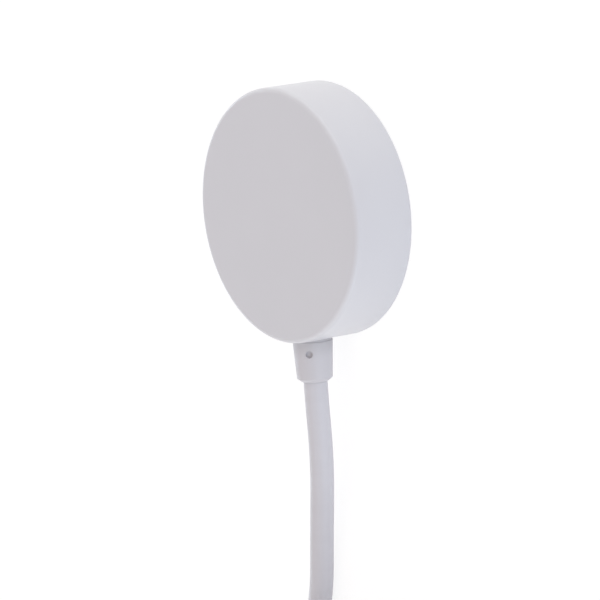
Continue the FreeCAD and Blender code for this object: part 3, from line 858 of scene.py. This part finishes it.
def strap_line(inner, outer, low, high, grow):
    """The rounded outline of the bundle's section, grown outwards by some amount."""
    right, left = outer - STRAP_ROUND, inner + STRAP_ROUND
    upper, lower = high - STRAP_ROUND, low + STRAP_ROUND
    line = []
    for centre, start in (
        ((right, upper), 0), ((left, upper), 90), ((left, lower), 180), ((right, lower), 270),
    ):
        line += arc(centre, STRAP_ROUND + grow, start, start + 90, CORNER_STEPS)
    return line


def strap_band(inner, outer, high, thick):
    """Inner and outer line of the closed band."""
    lines = [strap_line(inner, outer, thick, high, grow) for grow in (0.0, thick)]
    return [line + line[:1] for line in lines]


def strap_lap(inner, outer, high, thick):
    """Inner and outer line of the end that lies over the top and down the outside."""
    lines = []
    for grow in (thick, 2 * thick):
        bend = strap_line(inner, outer, thick, high, grow)[:CORNER_STEPS + 1]
        lines.append([(outer + grow, high / 2)] + bend + [(inner + LAP_START, high + grow)])
    return lines


def swept_strap(bands, cord):
    """Sweeps each band's section round the coil's axis and lays the strap's UV on it."""
    bm = bmesh.new()
    uv = bm.loops.layers.uv.new("strap")
    along = bm.verts.layers.float.new("along")
    sweep = cord.tie_width / cord.ring_mean
    for inner_line, outer_line in bands:
        rows = []
        reach, before = 0.0, outer_line[0]
        for one, other in zip(inner_line, outer_line):
            reach += math.dist(before, other)
            before = other
            pair = [bm.verts.new((r, 0, z)) for r, z in (one, other)]
            for vertex in pair:
                vertex[along] = reach
            rows.append(pair)
        faces = [bm.faces.new((a[0], a[1], b[1], b[0])) for a, b in zip(rows, rows[1:])]
        bmesh.ops.spin(
            bm, geom=faces, cent=(0, 0, 0), axis=UP, dvec=(0, 0, 0), angle=sweep,
            steps=STRAP_STEPS, use_merge=False, use_duplicate=False,
        )
    for face in bm.faces:
        for loop in face.loops:
            place = loop.vert.co
            loop[uv].uv = (loop.vert[along], math.atan2(place.y, place.x) * cord.ring_mean)
    centre = Matrix.Translation(COIL_MIDDLE)
    turn = Matrix.Rotation(cord.tie_angle - sweep / 2, 4, "Z")
    bmesh.ops.transform(bm, matrix=centre @ turn, verts=bm.verts)
    bmesh.ops.remove_doubles(bm, verts=bm.verts, dist=MERGED)
    bmesh.ops.recalc_face_normals(bm, faces=bm.faces)
    return bm


class MakePlug(bpy.types.Operator):
    """Make the plug: grip, boot, steel shell, inner mould, tongue and contacts"""
    bl_idname = "charging_cable.make_plug"
    bl_label = "Make the plug"

    def execute(self, context):
        plug, cord = context.scene.plug_sizes, context.scene.cord_sizes
        finishes = context.scene.cable_finishes
        white = moulded_plastic("plug_white", finishes.housing, 0.34, gloss=0.4)
        soft = collar_plastic("boot_white", finishes.collar)
        matt = moulded_plastic("insulator_white", finishes.insulator, 0.5, drift=0.01)
        steel = rolled_metal("plug_steel", finishes.steel, 0.26, (9000.0, 260.0, 9000.0))
        gold = rolled_metal("contact_gold", finishes.gold, 0.2, (9000.0, 400.0, 9000.0))
        finished(plug_grip(plug, cord), "plug_grip", "plug_cover", white)
        finished(plug_boot(plug, cord), "plug_boot", "plug_collar", soft)
        finished(plug_core(plug), "plug_core", "plug_inner_mould", matt)
        finished(plug_steel_shell(plug), "plug_steel_shell", "plug_shell", steel)
        finished(plug_insulator(plug), "plug_insulator", "plug_tongue", matt)
        finished(plug_pins(plug), "plug_pins", "plug_contacts", gold)
        return {"FINISHED"}


def plug_grip(plug, cord):
    """The grip: rounded on every edge, hollow from its front, with a hole for the cord."""
    width, height = COVER_HIGH.x - COVER_LOW.x, COVER_HIGH.z - COVER_LOW.z
    start, front = COVER_HIGH.y, COVER_LOW.y
    length = start - front
    grip = bar(width, height, start, length, plug.cover_corner, segments=14)
    round_edges(grip, end_edges(grip, start), plug.cover_rear_round, segments=10)
    round_edges(grip, end_edges(grip, front), plug.cover_front_round, segments=6)
    wall = plug.cover_wall
    hollow = bar(
        width - 2 * wall, height - 2 * wall, start - plug.cover_rear_wall,
        length - plug.cover_rear_wall + wall, plug.cover_corner - wall, segments=10,
    )
    bore = rod(
        cord.diameter / 2, (PLUG_AXIS.x, start + wall, PLUG_AXIS.z),
        (PLUG_AXIS.x, start - plug.cover_rear_wall - wall, PLUG_AXIS.z),
    )
    return combined(grip, [hollow, bore], "DIFFERENCE")


def plug_boot(plug, cord):
    """The tapered boot on the grip's end, widest at the grip."""
    start, end = -BOOT_HIGH.y, -BOOT_LOW.y
    bore, mouth, tip = cord.diameter / 2, cord.collar_mouth / 2, plug.boot_tip / 2
    shoulder = start + plug.boot_nose
    profile = [
        (bore, start), (mouth, start), (tip - EDGE_SOFT, shoulder - EDGE_SOFT),
        (tip + TAPER_RISE, shoulder + EDGE_SOFT),
        (cord.collar_root / 2, end), (bore, end), (bore, start),
    ]
    return turned_form(profile, (PLUG_AXIS.x, 0, PLUG_AXIS.z), ALONG, steps=96)


def plug_core(plug):
    """The inner mould round the shell, just inside the grip's front."""
    mould, shell = MOULD_HIGH - MOULD_LOW, SHELL_HIGH - SHELL_LOW
    corner = plug.cover_corner - plug.cover_wall
    core = bar(mould.x, mould.z, MOULD_HIGH.y, mould.y, corner, segments=10)
    pocket = bar(shell.x, shell.z, SHELL_HIGH.y, shell.y, plug.shell_corner, segments=8)
    return combined(core, [pocket], "DIFFERENCE")


def plug_steel_shell(plug):
    """Folded sheet: a flat tube with four windows and a butt seam underneath."""
    shell = SHELL_HIGH - SHELL_LOW
    wall = plug.shell_wall
    tube = bar(shell.x, shell.z, SHELL_HIGH.y, shell.y, plug.shell_corner, segments=10)
    inside = bar(
        shell.x - 2 * wall, shell.z - 2 * wall, SHELL_HIGH.y + wall, shell.y + 2 * wall,
        plug.shell_corner - wall, segments=10,
    )
    half = plug.window / 2
    middle = SHELL_LOW.y + plug.window_from_tip
    cuts = [inside]
    for side in (-1, 1):
        x = PLUG_AXIS.x + side * plug.window_spread / 2
        cuts.append(block(
            (x - half, middle - half, SHELL_LOW.z - PAST),
            (x + half, middle + half, SHELL_HIGH.z + PAST),
        ))
    seam = plug.shell_slit / 2
    cuts.append(block(
        (PLUG_AXIS.x - seam, SHELL_LOW.y - PAST, SHELL_LOW.z - PAST),
        (PLUG_AXIS.x + seam, SHELL_HIGH.y + PAST, PLUG_AXIS.z),
    ))
    return combined(tube, cuts, "DIFFERENCE")


def plug_insulator(plug):
    """The insulator: a block at the back of the shell and a tongue in front of it."""
    wall, corner = plug.shell_wall, plug.shell_corner - plug.shell_wall
    shell = SHELL_HIGH - SHELL_LOW
    inside = (shell.x - 2 * wall, shell.z - 2 * wall)
    back = bar(*inside, SHELL_HIGH.y, plug.shell_seat, corner, segments=8)
    front, top = COVER_LOW.y, SHELL_LOW.z + plug.shell_wall + plug.tongue_thick
    start = front + OVERLAP
    blade = bar(*inside, start, start - TONGUE_LOW.y, corner, segments=8)
    above = block(
        (SHELL_LOW.x, TONGUE_LOW.y - PAST, top), (SHELL_HIGH.x, front, SHELL_HIGH.z),
    )
    blade = combined(blade, [above], "DIFFERENCE")
    tip = [
        e for e in end_edges(blade, TONGUE_LOW.y)
        if all(abs(v.co.z - top) < IN_PLACE for v in e.verts)
    ]
    round_edges(blade, tip, plug.tongue_chamfer, segments=3)
    whole = combined(back, [blade], "UNION")
    return combined(whole, [plug_pins(plug)], "DIFFERENCE")


def plug_pins(plug):
    """The four contacts, let into the tongue."""
    pins = bmesh.new()
    half = plug.pin_width / 2
    for place, from_tip in CONTACT_PLACES:
        x = PLUG_AXIS.x + place
        block(
            (x - half, TONGUE_LOW.y + from_tip, PINS_LOW.z), (x + half, PINS_HIGH.y, PINS_HIGH.z),
            pins,
        )
    return pins


class FinishInside(bpy.types.Operator):
    """Give each piece inside the puck its own finish"""
    bl_idname = "charging_cable.finish_inside"
    bl_label = "Finish the inner pieces"

    def execute(self, context):
        for node, (recipe, *settings) in INNER_FINISHES.items():
            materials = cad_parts[node].data.materials
            materials.clear()
            materials.append(recipe(*settings))
        return {"FINISHED"}


class DeclareCord(bpy.types.Operator):
    """Does nothing; the cord's real length stays only a size in the panel"""
    bl_idname = "charging_cable.declare_cord"
    bl_label = "Declare the cord"

    def execute(self, context):
        return {"FINISHED"}


def seen_as_white(tree, plain, white):
    """Mixes in the white shader for what the camera and reflections see."""
    path = add_node(tree, "ShaderNodeLightPath")
    seen = path.outputs["Is Camera Ray"]
    for ray in ("Is Glossy Ray", "Is Transmission Ray"):
        either = add_node(tree, "ShaderNodeMath", operation="MAXIMUM", Value=seen)
        tree.links.new(path.outputs[ray], either.inputs[1])
        seen = either.outputs["Value"]
    mix = add_node(tree, "ShaderNodeMixShader")
    for source, socket in zip((seen, plain, white), mix.inputs):
        tree.links.new(source, socket)
    return mix.outputs["Shader"]


class SetStage(bpy.types.Operator):
    """Set the camera, the pale floor and the soft light"""
    bl_idname = "charging_cable.set_stage"
    bl_label = "Set the stage"

    def execute(self, context):
        studio = context.scene.studio
        self.camera(context, studio)
        self.sky(context, studio)
        self.floor(studio)
        for box in SOFTBOXES:
            self.softbox(*box)
        context.scene.view_settings.view_transform = "Standard"
        return {"FINISHED"}

    def camera(self, context, studio):
        turn = (
            Matrix.Rotation(studio.azimuth, 3, "Z")
            @ Matrix.Rotation(math.pi / 2 - studio.elevation, 3, "X")
            @ Matrix.Rotation(studio.roll, 3, "Z")
        )
        data = bpy.data.cameras.new("camera")
        data.lens, data.sensor_width = studio.lens, studio.sensor
        data.sensor_fit = "HORIZONTAL"
        data.clip_start, data.clip_end = 0.01, 50.0
        camera = placed("camera", data)
        camera.location = (Vector(studio.aim) + turn @ UP * studio.distance) * MM
        camera.rotation_euler = turn.to_euler()
        context.scene.camera = camera

    def sky(self, context, studio):
        world = bpy.data.worlds.new("sky")
        world.use_nodes = True
        context.scene.world = world
        tree = world.node_tree
        even = setup(
            tree, tree.nodes["Background"], Color=(*studio.sky_tint, 1.0), Strength=studio.sky)
        white = add_node(
            tree, "ShaderNodeBackground", Color=(1.0, 1.0, 1.0, 1.0), Strength=1.0)
        mixed = seen_as_white(tree, even.outputs["Background"], white.outputs["Background"])
        tree.links.new(mixed, tree.nodes["World Output"].inputs["Surface"])

    def floor(self, studio):
        bm = bmesh.new()
        bmesh.ops.create_circle(bm, cap_ends=True, segments=96, radius=FLOOR_RADIUS)
        floor = mesh_object(bm, "floor")
        material = bpy.data.materials.new("pale_floor")
        material.use_nodes = True
        tree = material.node_tree
        tree.nodes.remove(tree.nodes["Principled BSDF"])
        plain = add_node(tree, "ShaderNodeBsdfDiffuse", Color=(*studio.floor, 1.0))
        shade = add_node(tree, "ShaderNodeBsdfDiffuse", Color=(*[studio.floor_shade] * 3, 1.0))
        glow = add_node(
            tree, "ShaderNodeEmission", Strength=1.0 - studio.floor_shade * FLOOR_LIGHT)
        both = add_node(tree, "ShaderNodeAddShader")
        tree.links.new(shade.outputs["BSDF"], both.inputs[0])
        tree.links.new(glow.outputs["Emission"], both.inputs[1])
        mixed = seen_as_white(tree, plain.outputs["BSDF"], both.outputs["Shader"])
        tree.links.new(mixed, tree.nodes["Material Output"].inputs["Surface"])
        floor.data.materials.append(material)

    def softbox(self, name, azimuth, elevation, distance, width, height, radiance, tint):
        data = bpy.data.lights.new(name, "AREA")
        data.shape = "RECTANGLE"
        data.size, data.size_y = width, height
        data.energy = radiance * width * height * math.pi
        data.color = tint
        lamp = placed(name, data)
        a, e = math.radians(azimuth), math.radians(elevation)
        back = Vector((math.sin(a) * math.cos(e), -math.cos(a) * math.cos(e), math.sin(e)))
        lamp.location = back * distance
        lamp.rotation_euler = Euler((math.pi / 2 - e, 0, a))
        lamp.visible_camera = False


class ChargingCablePanel(bpy.types.Panel):
    """Lists the pieces and their sizes."""
    bl_idname = "VIEW3D_PT_charging_cable"
    bl_label = "Charging cable"
    bl_space_type = "VIEW_3D"
    bl_region_type = "UI"
    bl_category = "Charging cable"

    def draw(self, context):
        layout = self.layout
        for operator in OPERATORS:
            layout.operator(operator.bl_idname)
        for name in GROUPS:
            group = getattr(context.scene, name)
            box = layout.box()
            for key in group.__annotations__:
                box.prop(group, key)


OPERATORS = (
    SetStage, MakeHousing, MakeChargingFace, MakeCollar, MakeCord, MakeTie, MakePlug,
    FinishInside, DeclareCord,
)
GROUPS = {
    "puck_sizes": PuckSizes,
    "cord_sizes": CordSizes,
    "plug_sizes": PlugSizes,
    "cable_finishes": Finishes,
    "studio": StudioSettings,
}


def register():
    for group in GROUPS.values():
        bpy.utils.register_class(group)
    for operator in OPERATORS + (ChargingCablePanel,):
        bpy.utils.register_class(operator)
    for name, group in GROUPS.items():
        setattr(bpy.types.Scene, name, bpy.props.PointerProperty(type=group))


def unregister():
    for name in GROUPS:
        delattr(bpy.types.Scene, name)
    for kept in OPERATORS + (ChargingCablePanel,) + tuple(GROUPS.values()):
        bpy.utils.unregister_class(kept)


def main():
    register()
    for operator in OPERATORS:
        group, name = operator.bl_idname.split(".")
        getattr(getattr(bpy.ops, group), name)()


if __name__ == "__main__":
    main()
